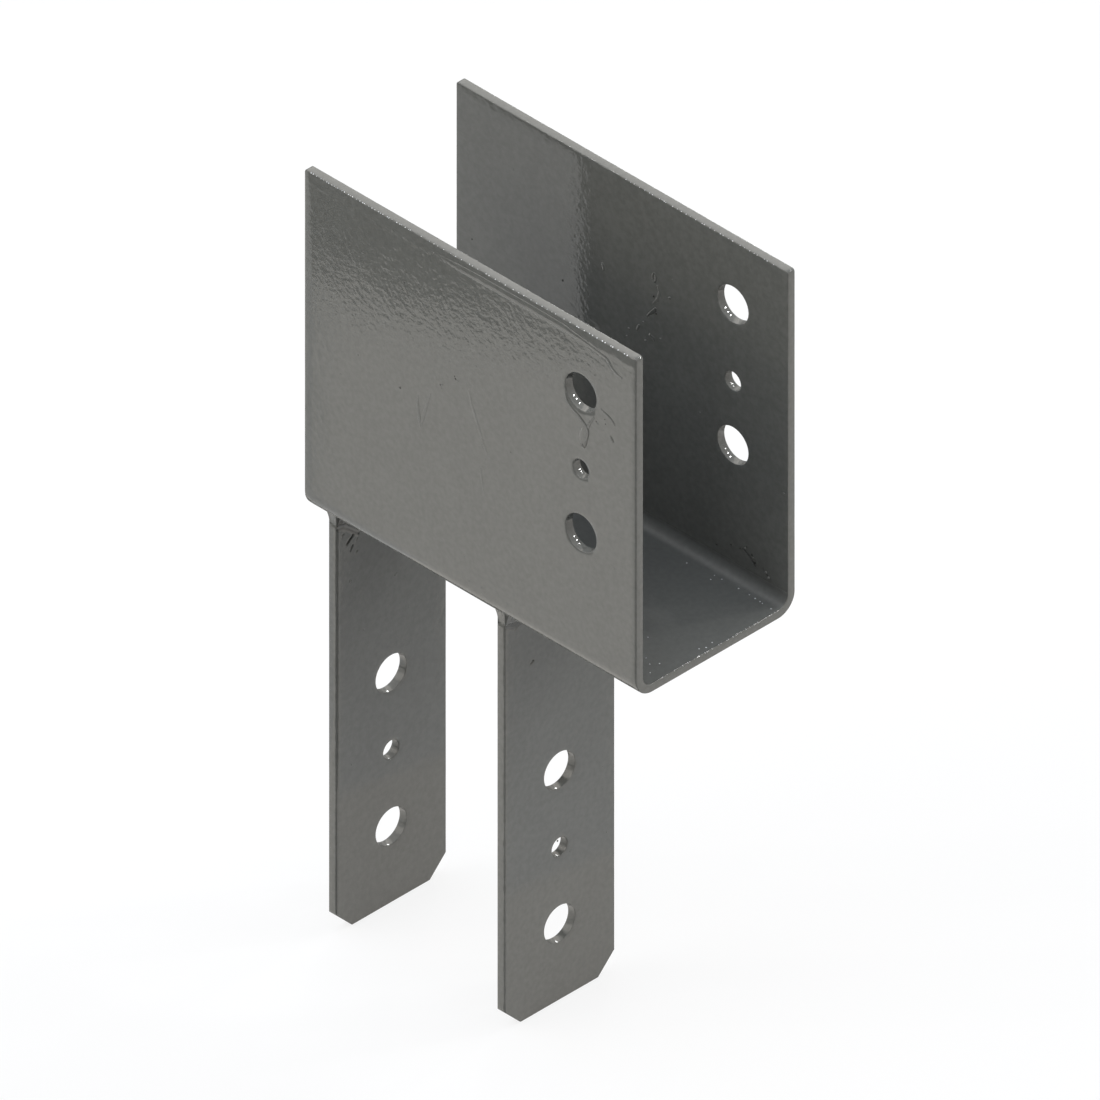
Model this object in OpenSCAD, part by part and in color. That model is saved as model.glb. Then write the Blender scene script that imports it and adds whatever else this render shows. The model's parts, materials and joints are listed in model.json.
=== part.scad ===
// Column end cap: a folded steel bucket that holds the end of a beam, with two
// flat straps welded under its seat that clasp the top of a post.
// Millimetres. X runs along the beam, from the flush end to the open end, and Z is up.
// The origin is the middle of the post's top, on the underside of the seat.

/* [Steel] */
// Thickness of the bucket's plate
plate_t = 4.55; // [3:0.05:8]
// Thickness of the strap's flat bar
strap_t = 4.55; // [3:0.05:8]

/* [Bucket] */
// Clear width for the beam, between the side plates
beam_w = 82.55; // [70:0.05:200]
// Length of the bucket along the beam
bucket_l = 190.5; // [165:0.5:400]
// Height of the side plates above the seat
side_h = 165.1; // [140:0.1:320]
// Inside radius of the two folds
fold_r = 5.2; // [2:0.1:7]
// Radius on the top corners of the side plates
corner_r = 1.5; // [0.5:0.5:10]

/* [Straps] */
// Clear width for the post, between the straps
post_w = 92.08; // [70:0.01:120]
// Length of each strap below the seat
strap_l = 215.9; // [160:0.1:400]
// Width of each strap
strap_w = 63.5; // [40:0.5:66]
// Cut across each corner of a strap's tip
tip_cut = 9.5; // [0:0.5:15]

/* [Bolt holes] */
// Diameter of the bolt holes
bolt_hole_d = 17.46; // [10:0.02:24]
// Diameter of the pilot holes
pilot_hole_d = 8.8; // [4:0.1:12]
// Distance from the upper beam bolt to the top edge of the side plate
beam_bolt_top = 31.75; // [20:0.05:45]
// Distance between the two beam bolts
beam_bolt_pitch = 69.85; // [45:0.05:75]
// Distance from the beam bolts to the open end of the bucket
beam_bolt_end = 31.75; // [20:0.05:45]
// Distance from the pilot hole down to the lower beam bolt
beam_pilot_rise = 31.75; // [20:0.05:45]
// Distance from the lower post bolt to the tip of the strap
post_bolt_tip = 38.1; // [25:0.1:55]
// Distance between the two post bolts
post_bolt_pitch = 76.2; // [45:0.1:85]
// Distance from the pilot hole down to the lower post bolt
post_pilot_rise = 38.1; // [20:0.1:45]

/* [Welds] */
// Leg of the fillet along the inner strap's wide face
bead_leg = 6.5; // [3:0.5:10]
// Rise of the fillet's rounded face above a flat one
bead_crown = 0.5; // [0.1:0.1:1]
// Width of the seam bead across the flush end
seam_w = 8; // [5:0.5:9]
// Height of the seam bead
seam_crown = 1.4; // [0.8:0.1:2]
// Leg down the strap where the bead wraps its edge
wrap_drop = 13.5; // [8:0.5:20]
// Leg along the seat where the bead wraps the strap's edge
wrap_reach = 4.3; // [3:0.1:5]
// Hollow of the wrap's face below a flat one
wrap_hollow = 0.8; // [0.1:0.1:1]
// Length of the wrap that returns along the strap's wide face, before its rounded end
wrap_return = 8; // [3:0.5:15]

/* [Hidden] */
$fn = 64;
// Overshoot of a cut past the faces that it goes through
cut_over = 1;
bucket_w = beam_w + 2 * plate_t;
top_z = plate_t + side_h;
fold_outer_r = fold_r + plate_t;
// The flush end of the bucket, which is also the outer face of the end strap
flush_x = -post_w / 2 - strap_t;
open_x = flush_x + bucket_l;
inner_strap_x = post_w / 2;
beam_bolt_x = open_x - beam_bolt_end;
beam_bolt_upper_z = top_z - beam_bolt_top;
beam_bolt_lower_z = beam_bolt_upper_z - beam_bolt_pitch;
beam_pilot_z = beam_bolt_lower_z + beam_pilot_rise;
post_bolt_lower_z = post_bolt_tip - strap_l;
post_bolt_upper_z = post_bolt_lower_z + post_bolt_pitch;
post_pilot_z = post_bolt_lower_z + post_pilot_rise;
paint_grey = [0.45, 0.46, 0.44];
weld_grey = [0.40, 0.41, 0.39];

// Rectangle from the ground line up, with its two lower corners rounded
module round_bottomed(w, h, r) {
    translate([-w / 2, r]) square([w, h - r]);
    translate([r - w / 2, 0]) square([w - 2 * r, h]);
    for (side = [-1, 1])
        translate([side * (w / 2 - r), r]) circle(r);
}

// Cross-section of the folded plate, with Y across the page and Z up it
module fold_profile() {
    difference() {
        round_bottomed(bucket_w, top_z, fold_outer_r);
        translate([0, plate_t])
            round_bottomed(beam_w, side_h + cut_over, fold_r);
    }
}

// Removes the square corner left outside a radius, at one end of the top edges
module corner_cut(x, toward) {
    translate([x, bucket_w / 2 + cut_over, top_z]) rotate([90, 0, 0])
        linear_extrude(bucket_w + 2 * cut_over)
            difference() {
                translate([toward > 0 ? -corner_r : -cut_over, -corner_r])
                    square(corner_r + cut_over);
                translate([-toward * corner_r, -corner_r]) circle(corner_r);
            }
}

// Hole straight through both side plates
module beam_hole(d, z) {
    translate([beam_bolt_x, 0, z]) rotate([90, 0, 0])
        cylinder(d = d, h = bucket_w + 2 * cut_over, center = true);
}

module bucket() {
    color(paint_grey)
        difference() {
            translate([flush_x, 0, 0]) rotate([90, 0, 90])
                linear_extrude(bucket_l) fold_profile();
            corner_cut(flush_x, -1);
            corner_cut(open_x, 1);
            beam_hole(bolt_hole_d, beam_bolt_upper_z);
            beam_hole(bolt_hole_d, beam_bolt_lower_z);
            beam_hole(pilot_hole_d, beam_pilot_z);
        }
}

// Outline of a strap with its holes, with Y across the page and Z up it
module strap_outline() {
    half_w = strap_w / 2;
    difference() {
        polygon([
            [-half_w, 0], [-half_w, tip_cut - strap_l], [tip_cut - half_w, -strap_l],
            [half_w - tip_cut, -strap_l], [half_w, tip_cut - strap_l], [half_w, 0]
        ]);
        translate([0, post_bolt_upper_z]) circle(d = bolt_hole_d);
        translate([0, post_bolt_lower_z]) circle(d = bolt_hole_d);
        translate([0, post_pilot_z]) circle(d = pilot_hole_d);
    }
}

// Strap whose face nearer the flush end lies at x
module strap(x) {
    color(paint_grey)
        translate([x, 0, 0]) rotate([90, 0, 90])
            linear_extrude(strap_t) strap_outline();
}

// Radius of an arc that stands off its chord by a given rise
function arc_r(chord, rise) = (chord * chord / 4 + rise * rise) / (2 * rise);

// Section of a bead in the corner between the strap, up the page, and the seat above it.
// Its face is an arc through both toes: rise > 0 rounds it out, rise < 0 hollows it.
module bead_section(reach, drop, rise) {
    chord = norm([reach, drop]);
    r = arc_r(chord, abs(rise));
    out = [drop, -reach] / chord;
    centre = [reach, -drop] / 2 + out * (rise - sign(rise) * r);
    if (rise > 0)
        intersection() {
            translate([0, -drop]) square([reach, drop]);
            translate(centre) circle(r, $fn = 256);
        }
    else
        difference() {
            polygon([[0, 0], [0, -drop], [reach, 0]]);
            translate(centre) circle(r, $fn = 256);
        }
}

module wrap_section() {
    bead_section(wrap_reach, wrap_drop, -wrap_hollow);
}

// Wrap around the strap's edge at y: along the edge, round its corner, and back on the wide
// face to a rounded end
module wrap(y) {
    translate([0, y, 0]) rotate([90, 0, 90])
        linear_extrude(strap_t) wrap_section();
    translate([strap_t, y, 0])
        rotate_extrude(angle = 90) wrap_section();
    translate([strap_t, y, 0]) rotate([90, 0, 0])
        linear_extrude(wrap_return) wrap_section();
    translate([strap_t, y - wrap_return, 0]) rotate([0, 0, -90])
        rotate_extrude(angle = 90) wrap_section();
}

module both_wraps() {
    for (side = [0, 1])
        mirror([0, side, 0]) wrap(strap_w / 2);
}

// Fillet in the corner between the seat and the strap's wide face
module face_fillet() {
    translate([strap_t, strap_w / 2, 0]) rotate([90, 0, 0])
        linear_extrude(strap_w)
            bead_section(bead_leg, bead_leg, bead_crown);
}

// Half of the seam bead's low round section, as a profile to turn about its end
module seam_half_section() {
    r = arc_r(seam_w, seam_crown);
    intersection() {
        square([seam_w / 2, seam_crown]);
        translate([0, seam_crown - r]) circle(r, $fn = 256);
    }
}

// Low bead over the joint line across the flush end, with round ends
module seam_bead() {
    rotate([0, -90, 0]) {
        for (side = [0, 1]) {
            mirror([side, 0, 0]) translate([0, strap_w / 2, 0]) rotate([90, 0, 0])
                linear_extrude(strap_w) seam_half_section();
            mirror([0, side, 0]) translate([0, strap_w / 2, 0])
                rotate_extrude(angle = 180) seam_half_section();
        }
    }
}

module end_strap() {
    strap(flush_x);
}

module inner_strap() {
    strap(inner_strap_x);
}

module end_strap_weld() {
    color(weld_grey)
        translate([flush_x, 0, 0]) {
            both_wraps();
            seam_bead();
        }
}

module inner_strap_weld() {
    color(weld_grey)
        translate([inner_strap_x, 0, 0]) {
            both_wraps();
            face_fillet();
        }
}

bucket();
end_strap();
inner_strap();
end_strap_weld();
inner_strap_weld();
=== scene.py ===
"""Column end cap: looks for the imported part. Metres, in the part's own frame."""
import json
import math

import bpy
import numpy as np
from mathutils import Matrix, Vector, noise


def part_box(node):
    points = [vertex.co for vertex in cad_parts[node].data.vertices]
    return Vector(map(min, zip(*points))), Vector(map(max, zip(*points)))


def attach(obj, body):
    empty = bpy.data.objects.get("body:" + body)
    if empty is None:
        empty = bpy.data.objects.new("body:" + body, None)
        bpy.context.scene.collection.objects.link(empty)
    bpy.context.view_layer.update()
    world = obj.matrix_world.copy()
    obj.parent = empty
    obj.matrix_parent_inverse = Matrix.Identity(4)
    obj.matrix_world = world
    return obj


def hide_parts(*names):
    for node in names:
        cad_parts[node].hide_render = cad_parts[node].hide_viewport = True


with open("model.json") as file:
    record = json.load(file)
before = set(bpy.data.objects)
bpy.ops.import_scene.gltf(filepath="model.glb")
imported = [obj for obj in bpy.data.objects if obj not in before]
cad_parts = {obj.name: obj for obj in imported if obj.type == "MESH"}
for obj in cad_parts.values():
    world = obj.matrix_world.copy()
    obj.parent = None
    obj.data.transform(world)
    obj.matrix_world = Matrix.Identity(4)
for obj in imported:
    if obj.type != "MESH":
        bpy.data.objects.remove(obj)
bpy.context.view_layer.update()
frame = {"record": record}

MM = 0.001
BODY = "root"

# Sizes that come from the frame
MOUNTS = {m["name"]: m for m in frame["record"]["mounts"]}
BUCKET_LOW, BUCKET_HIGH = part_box("bucket")
STRAP_LOW, STRAP_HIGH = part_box("end_strap")
INNER_LOW, INNER_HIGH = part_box("inner_strap")
PLATE_T = MOUNTS["beam_seat"]["pos_m"][2]
STRAP_T = STRAP_HIGH.x - STRAP_LOW.x
TOP_Z = BUCKET_HIGH.z
HALF_W = BUCKET_HIGH.y
FLUSH_X, OPEN_X = BUCKET_LOW.x, BUCKET_HIGH.x
STRAP_HALF = STRAP_HIGH.y
TIP_Z = STRAP_LOW.z

# Sizes that the frame doesn't state, as in the part's source
FOLD_R = 5.2 * MM
FOLD_OUTER = FOLD_R + PLATE_T
FOLD_MID = FOLD_OUTER - PLATE_T / 2
CORNER_R = 1.5 * MM
TIP_CUT = 9.5 * MM
PILOT_R = 4.4 * MM
BEAM_PILOT_DROP = 38.1 * MM
BOLT_PATCH = 12.5 * MM
PILOT_PATCH = 8 * MM

# The coat of paint, and the rounding that it leaves on the edges
INSET = 0.8 * MM
HOLE_EDGE = 0.4 * MM
SKIN = 0.15 * MM


def smoothstep(a, b, x):
    t = np.clip((x - a) / (b - a), 0, 1)
    return t * t * (3 - 2 * t)


def marked_lines(marks, step):
    """Grid lines through every mark, with the gaps between them split evenly by step(middle)."""
    out = [marks[0]]
    for a, b in zip(marks, marks[1:]):
        n = max(1, math.ceil((b - a) / step((a + b) / 2) - 1e-6))
        out += [a + (b - a) * k / n for k in range(1, n + 1)]
    return np.array(out)


class Sheet:
    """A flat sheet in (x, s), meshed in quads, with round holes and shaped ends."""

    def __init__(self, xs, ss, narrowing, holes):
        """narrowing(s) is how far each side edge steps in at s; holes are (x, s, radius, half patch)."""
        self.points, self.faces, self.loops = [], [], []
        nx, ns = len(xs), len(ss)
        middle, half = (xs[0] + xs[-1]) / 2, (xs[-1] - xs[0]) / 2
        for s in ss:
            squeeze = 1 - narrowing(s) / half
            self.points += [(middle + (x - middle) * squeeze, s) for x in xs]
        taken = set()
        for cx, cs, radius, patch in holes:
            i0, i1 = (int(np.argmin(abs(xs - (cx + k)))) for k in (-patch, patch))
            j0, j1 = (int(np.argmin(abs(ss - (cs + k)))) for k in (-patch, patch))
            taken |= {(i, j) for i in range(i0, i1) for j in range(j0, j1)}
            self.ring_hole(nx, (i0, i1, j0, j1), Vector((cx, cs)), radius)
        for j in range(ns - 1):
            for i in range(nx - 1):
                if (i, j) not in taken:
                    a = j * nx + i
                    self.faces.append((a, a + 1, a + nx + 1, a + nx))
        edge = list(range(nx))
        edge += [j * nx + nx - 1 for j in range(1, ns)]
        edge += [(ns - 1) * nx + i for i in range(nx - 2, -1, -1)]
        edge += [j * nx for j in range(ns - 2, 0, -1)]
        self.loops.append((edge, INSET))

    def ring_hole(self, nx, patch, centre, radius, rings=4):
        """Quads between a square patch's border and the round edge of its hole."""
        i0, i1, j0, j1 = patch
        border = [j0 * nx + i for i in range(i0, i1)]
        border += [j * nx + i1 for j in range(j0, j1)]
        border += [j1 * nx + i for i in range(i1, i0, -1)]
        border += [j * nx + i0 for j in range(j1, j0, -1)]
        outer = border
        for k in range(1, rings + 1):
            inner = []
            for index in border:
                p = Vector(self.points[index])
                rim = centre + (p - centre).normalized() * radius
                inner.append(len(self.points))
                self.points.append(tuple(p.lerp(rim, k / rings)))
            count = len(border)
            for a in range(count):
                b = (a + 1) % count
                self.faces.append((outer[a], outer[b], inner[b], inner[a]))
            outer = inner
        self.loops.append((outer[::-1], HOLE_EDGE))

    def rims(self):
        """Each loop's indices, its outward normals in the sheet's plane and how far in it lies."""
        points = np.array(self.points)
        for loop, inset in self.loops:
            p = points[loop]
            ahead = np.roll(p, -1, 0) - p
            ahead /= np.linalg.norm(ahead, axis=1)[:, None]
            out = np.stack([ahead[:, 1], -ahead[:, 0]], 1)
            back = np.roll(out, 1, 0)
            mean = out + back
            mean /= np.linalg.norm(mean, axis=1)[:, None]
            lean = np.clip((mean * out).sum(1), 0.75, 1)
            yield loop, mean / lean[:, None], inset

    def solid(self, thickness, place, relief, near, far):
        """Points and faces of the sheet as a closed solid with rounded edges, and each point's share of rim.

        place(x, s, depth) gives points and the sheet's own axes there; relief(points, normals) is how far
        the paint stands out from the bare surface; near and far are the outer edges' roundings on the two
        faces, each as (across the face, into the thickness).
        """
        base = np.array(self.points)
        n = len(base)
        rim = [np.zeros(2 * n)]
        xs = [base, base]
        depth = [np.zeros(n), np.full(n, thickness)]
        plane = [np.zeros((n, 2)), np.zeros((n, 2))]
        facing = [np.ones(n), -np.ones(n)]
        faces = list(self.faces) + [tuple(i + n for i in f[::-1]) for f in self.faces]
        total = 2 * n
        bends = [math.radians(a) for a in (0, 22.5, 45, 67.5, 90)]
        for loop, out, inset in self.rims():
            hole = inset == HOLE_EDGE
            rows = [list(loop)]
            sides = [(a, 1) for a in bends] + [(math.pi / 2, 0)] + [(a, -1) for a in bends[::-1]]
            for angle, side in sides:
                across, into = (inset, inset) if hole else far if side < 0 else near
                if angle == 0 and across > inset - 0.05 * MM:
                    continue
                count = len(loop)
                xs.append(base[loop] + out * (inset - across + across * math.sin(angle)))
                sink = into * (1 - math.cos(angle))
                depth.append(np.full(count, {1: sink, 0: thickness / 2, -1: thickness - sink}[side]))
                lean = math.atan2(into * math.sin(angle), across * math.cos(angle))
                plane.append(out * math.sin(lean))
                facing.append(np.full(count, side * math.cos(lean)))
                rim.append(np.full(count, abs(side) * math.sin(2 * angle)))
                rows.append(list(range(total, total + count)))
                total += count
            rows.append([i + n for i in loop])
            for upper, lower in zip(rows, rows[1:]):
                for a in range(len(loop)):
                    b = (a + 1) % len(loop)
                    faces.append((upper[b], upper[a], lower[a], lower[b]))
        xs, depth = np.concatenate(xs), np.concatenate(depth)
        plane, facing = np.concatenate(plane), np.concatenate(facing)
        at, ex, es, ed = place(xs[:, 0], xs[:, 1], depth)
        normal = plane[:, :1] * ex + plane[:, 1:] * es + facing[:, None] * ed
        normal /= np.linalg.norm(normal, axis=1)[:, None]
        return at + normal * relief(at, normal)[:, None], faces, np.concatenate(rim)


def add_object(name, data):
    made = bpy.data.objects.new(name, data)
    bpy.context.scene.collection.objects.link(made)
    return made


def mark_points(mesh, mark, values):
    mesh.attributes.new(mark, "FLOAT", "POINT").data.foreach_set("value", np.asarray(values, np.float32))


def mesh_object(name, points, faces, **marks):
    """Mesh with smooth faces; each mark is a value per point that the paint reads."""
    mesh = bpy.data.meshes.new(name)
    mesh.from_pydata([tuple(map(float, p)) for p in points], [], faces)
    for mark, values in marks.items():
        mark_points(mesh, mark, values)
    mesh.validate()
    obj = add_object(name, mesh)
    bpy.context.view_layer.objects.active = obj
    for other in bpy.context.selected_objects:
        other.select_set(False)
    obj.select_set(True)
    bpy.ops.object.mode_set(mode="EDIT")
    bpy.ops.mesh.select_all(action="SELECT")
    bpy.ops.mesh.normals_make_consistent(inside=False)
    bpy.ops.object.mode_set(mode="OBJECT")
    for polygon in mesh.polygons:
        polygon.use_smooth = True
    return obj


def noise_at(points, size, seed):
    """Smooth noise in about -1..1 with lumps of the given size, in metres."""
    shift = Vector((seed * 7.3, seed * 3.1, seed * 5.7))
    return np.array([noise.noise(Vector(p) / size + shift) for p in points.tolist()])


def paint_waves(points):
    """Slow unevenness of the sprayed coat, and faint sags that hang down the upright faces."""
    sags = np.stack([points[:, 0], points[:, 1], points[:, 2] / 9], 1)
    return (0.020 * MM * noise_at(points, 16 * MM, 1)
            + 0.007 * MM * noise_at(points, 6 * MM, 2)
            + 0.006 * MM * noise_at(sags, 5 * MM, 3))


def path_relief(x, z, path, widths, heights):
    """A raised line of paint along a path: the highest of its rounded segments. All in mm."""
    out = np.zeros_like(x)
    for k in range(len(path) - 1):
        (ax, az), (bx, bz) = path[k], path[k + 1]
        length2 = (bx - ax) ** 2 + (bz - az) ** 2
        t = np.clip(((x - ax) * (bx - ax) + (z - az) * (bz - az)) / length2, 0, 1)
        away = np.hypot(x - ax - t * (bx - ax), z - az - t * (bz - az))
        w = widths[k] + t * (widths[k + 1] - widths[k])
        h = heights[k] + t * (heights[k + 1] - heights[k])
        out = np.maximum(out, h * np.exp(-((away / w) ** 2)))
    return out


def tube_faces(rows, count):
    """Faces of a closed tube of rows with count points each, and of its two ends, which come last."""
    faces = []
    for a in range(rows - 1):
        for k in range(count):
            m = (k + 1) % count
            faces.append((a * count + k, a * count + m, (a + 1) * count + m, (a + 1) * count + k))
    last = (rows - 1) * count
    return faces + [tuple(range(count)), tuple(range(last + count - 1, last - 1, -1))]


def dome(centre, normal, radius, height):
    """Points and faces of a speck in the paint, a low closed dome whose foot lies in the surface."""
    across = normal.orthogonal().normalized()
    along = normal.cross(across)
    points, rings, around, foot = [], 4, 8, 0.12 * MM
    for ring in range(rings):
        lean = math.pi / 2 * ring / rings
        for k in range(around):
            turn = 2 * math.pi * k / around
            side = (across * math.cos(turn) + along * math.sin(turn)) * radius * math.cos(lean)
            points.append(centre + side + normal * (height * math.sin(lean) - foot * (ring == 0)))
    last, top = (rings - 1) * around, rings * around
    points.append(centre + normal * height)
    fan = [(last + k, last + (k + 1) % around, top) for k in range(around)]
    return points, tube_faces(rings, around)[:-1] + fan


def ridge(path, place, step=0.5):
    """Points and faces of a raised line of paint along (x, z, half width, height), all in mm.

    place(x, z, lift) gives the points on the face, in metres.
    """
    path = np.array(path, float)
    along = np.concatenate([[0], np.cumsum(np.hypot(*np.diff(path[:, :2], axis=0).T))])
    at = np.linspace(0, along[-1], max(8, math.ceil(along[-1] / step)) + 1)
    rows = []
    for k in range(4):
        row = np.interp(at, along, path[:, k])
        soft = np.convolve(np.pad(row, 2, mode="edge"), [0.12, 0.22, 0.32, 0.22, 0.12], mode="valid")
        soft[[0, -1]] = row[[0, -1]]
        rows.append(soft)
    x, z, half, high = rows
    ahead = np.stack([np.gradient(x), np.gradient(z)], 1)
    ahead /= np.linalg.norm(ahead, axis=1)[:, None]
    points, across, foot = [], np.linspace(-1, 1, 9), -0.15
    # A wide line swells softly, and a narrow one is round
    swell = (1 - across**2) ** (2 if half.max() > 1.6 else 1)
    for k in range(len(at)):
        side = across * half[k]
        px, pz, lift = x[k] - ahead[k, 1] * side, z[k] + ahead[k, 0] * side, high[k] * swell
        px, pz, lift = np.append(px, px[[-1, 0]]), np.append(pz, pz[[-1, 0]]), np.append(lift, [foot, foot])
        points += place(px, pz, lift).tolist()
    return points, tube_faces(len(at), len(across) + 2)


def sheet_object(name, points, faces, marks, parts):
    """Mesh of a sheet's solid with its marks, and of further parts, each with how dark and how pale it is."""
    points, faces = [tuple(p) for p in points], list(faces)
    flecks = [np.stack([marks.pop("grime", np.zeros(len(points))), np.zeros(len(points))], 1)]
    for (more, ends), tint in parts:
        faces += [tuple(i + len(points) for i in f) for f in ends]
        points += [tuple(p) for p in more]
        flecks.append(np.tile(tint, (len(more), 1)))
    grime, pale = np.concatenate(flecks).T
    for mark, values in marks.items():
        marks[mark] = np.append(values, np.zeros(len(points) - len(values)))
    return mesh_object(name, points, faces, grime=grime, pale=pale, **marks)


# How dark a part of a sheet is, as dirt and painted shade, and how pale, as painted glints
PLAIN, PAINTED_GLINT = (0, 0), (0, 1)


def grains(start, end, facing, count, radius, seed):
    """Pale grains along a line, unevenly spaced, as parts of a sheet: small domes coloured near white as
    painted glints.
    """
    rng = np.random.default_rng(seed)
    start, end, facing = Vector(start), Vector(end), Vector(facing).normalized()
    parts = []
    for k in range(count):
        at = (k + 0.5 + rng.uniform(-0.42, 0.42)) / count
        size = radius * rng.uniform(0.6, 1.0)
        parts.append((dome(start.lerp(end, at), facing, size, 0.09 * MM), PAINTED_GLINT))
    return parts


# Bucket

FLAT_SIDE = TOP_Z - FOLD_OUTER
FOLD_ARC = math.pi / 2 * FOLD_MID
FLAT_SEAT = 2 * (HALF_W - FOLD_OUTER)
SHEET_S = 2 * FLAT_SIDE + 2 * FOLD_ARC + FLAT_SEAT


def fold(x, s, depth):
    """Points and axes of the folded plate: s runs down the front, along the seat and up the back."""
    turn1 = np.clip((s - FLAT_SIDE) / FOLD_MID, 0, math.pi / 2)
    turn2 = np.clip((s - FLAT_SIDE - FOLD_ARC - FLAT_SEAT) / FOLD_MID, 0, math.pi / 2)
    turn = turn1 + turn2
    zero = np.zeros_like(s)
    es = np.stack([zero, np.sin(turn), -np.cos(turn)], 1)
    ed = np.stack([zero, -np.cos(turn), -np.sin(turn)], 1)
    ex = np.stack([zero + 1, zero, zero], 1)
    down = np.clip(s, None, FLAT_SIDE)
    along = np.clip(s - FLAT_SIDE - FOLD_ARC, 0, FLAT_SEAT)
    up = np.clip(s - SHEET_S + FLAT_SIDE, 0, None)
    y = FOLD_OUTER - HALF_W - FOLD_MID * np.cos(turn1) + along + FOLD_MID * np.sin(turn2)
    z = TOP_Z - down - FOLD_MID * np.sin(turn1) + FOLD_MID * (1 - np.cos(turn2)) + up
    middle = np.stack([x, y, z], 1)
    return middle + ed * (PLATE_T / 2 - depth)[:, None], ex, es, ed


def corner_narrowing(q, radius):
    """How far an edge steps in at a distance q from the end, for a rounded corner."""
    if q >= radius:
        return 0.0
    return radius - math.sqrt(max(0.0, radius**2 - (radius - q) ** 2))


def corner_marks(radius, steps=4):
    return [radius * (1 - math.cos(math.pi / 2 * k / steps)) for k in range(1, steps + 1)]


def beam_holes():
    """The holes through a side plate, from the top: x, z and radius."""
    bolts = MOUNTS["beam_bolts_front"]
    x, z = bolts["pos_m"][0], bolts["pos_m"][2]
    half_pitch = bolts["dims"]["spacing_y_mm"] * MM / 2
    radius = bolts["dims"]["hole_r_mm"] * MM
    top = z + half_pitch
    return [(x, top, radius), (x, top - BEAM_PILOT_DROP, PILOT_R), (x, z - half_pitch, radius)]


def make_bucket():
    """The folded plate with its holes, and the runs, specks and grains of its paint."""
    bx = beam_holes()[0][0]
    holes, marks = [], []
    for (_, z, r), patch in zip(beam_holes(), (BOLT_PATCH, PILOT_PATCH, BOLT_PATCH)):
        for at in (TOP_Z - z, SHEET_S - TOP_Z + z):
            holes.append((bx, at, r + HOLE_EDGE, patch))
            marks += [at - patch, at + patch]
    plan_r = CORNER_R - INSET
    ends = [INSET] + [INSET + q for q in corner_marks(plan_r)]
    marks += ends + [SHEET_S - e for e in ends]
    marks += [FLAT_SIDE, FLAT_SIDE + FOLD_ARC, SHEET_S - FLAT_SIDE - FOLD_ARC, SHEET_S - FLAT_SIDE]
    xs = marked_lines(
        [FLUSH_X + INSET, bx - 22 * MM, bx - BOLT_PATCH, bx - PILOT_PATCH, bx + PILOT_PATCH,
         bx + BOLT_PATCH, OPEN_X - INSET],
        lambda x: 2.0 * MM if x < bx - 22 * MM else 1.05 * MM)
    marks.append(8 * MM)

    def row_step(s):
        in_fold = FLAT_SIDE < min(s, SHEET_S - s) < FLAT_SIDE + FOLD_ARC
        return (0.6 if s < 8 * MM else 1.3 if s < 85 * MM else 0.9 if in_fold else 2.6) * MM

    ss = marked_lines(sorted(marks), row_step)

    def narrowing(s):
        return corner_narrowing(min(s, SHEET_S - s) - INSET, plan_r)

    sheet = Sheet(xs, ss, narrowing, holes)
    points, faces, rim = sheet.solid(PLATE_T, fold, bucket_relief, (0.6 * MM, 0.6 * MM), (0.5 * MM, 0.5 * MM))
    inner = slice(len(sheet.points), 2 * len(sheet.points))
    dull, grime = np.zeros((2, len(points)))
    x, z = points[:, 0] - FLUSH_X, points[:, 2]
    dull[inner] = smoothstep(10.4 * MM, 9.4 * MM, z[inner])
    # Painted shade: the seat is coloured darker further in from the open end, and so are the upper walls of
    # the holes
    grime[inner] = 0.25 * smoothstep(9 * MM, 6 * MM, z[inner]) * smoothstep(165 * MM, 120 * MM, x[inner])
    for hole_x, hole_z, radius in beam_holes():
        right, up = points[:, 0] - hole_x, z - hole_z
        wall = np.hypot(right, up) < radius + 0.15 * MM
        grime[wall] = 0.6 * smoothstep(0, 0.9 * radius, ((up - right) / math.sqrt(2))[wall])
    # Each run is coloured darker by its first value, which is painted shade along its ridge
    parts = [(ridge(path, on_front), (dark, 0)) for dark, path in RUNS]
    parts += [(ridge(path, on_back), (dark, 0)) for dark, path in BACK_RUNS]
    parts += bucket_specks() + edge_grains()
    return sheet_object("painted_bucket", points, faces, {"rim": rim, "dull": dull, "grime": grime}, parts)


def edge_grains():
    """Rows of pale grains, as painted glints, along the bucket's upper and open edges, and those on the seat.
    """
    skin, x0, x1 = SKIN + 0.17 * MM, FLUSH_X, OPEN_X
    top, front, back = TOP_Z - skin, -HALF_W + skin, HALF_W - PLATE_T + skin
    seat, end = PLATE_T - skin, OPEN_X - skin
    out, up = (0, -1, 1), (1, 0, 1)
    parts = grains((x0 + 3 * MM, front, top), (x0 + 62 * MM, front, top), out, 34, 0.24 * MM, 1)
    parts += grains((x0 + 66 * MM, front, top), (x0 + 150 * MM, front, top), out, 26, 0.24 * MM, 2)
    parts += grains((x0 + 152 * MM, front, top), (x1 - 4 * MM, front, top), out, 14, 0.33 * MM, 3)
    parts += grains((x0 + 95 * MM, back, top), (x1 - 8 * MM, back, top), out, 32, 0.24 * MM, 4)
    parts += grains((end, 14 * MM - HALF_W, seat), (end, HALF_W - 10 * MM, seat), up, 33, 0.33 * MM, 5)
    for k, (x, y) in enumerate(SEAT_GRAINS):
        at = (FLUSH_X + x * MM, y * MM - HALF_W, PLATE_T - SKIN)
        parts += grains(at, at, (0, 0, 1), 1, 0.36 * MM, 10 + k)
    return parts


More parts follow.
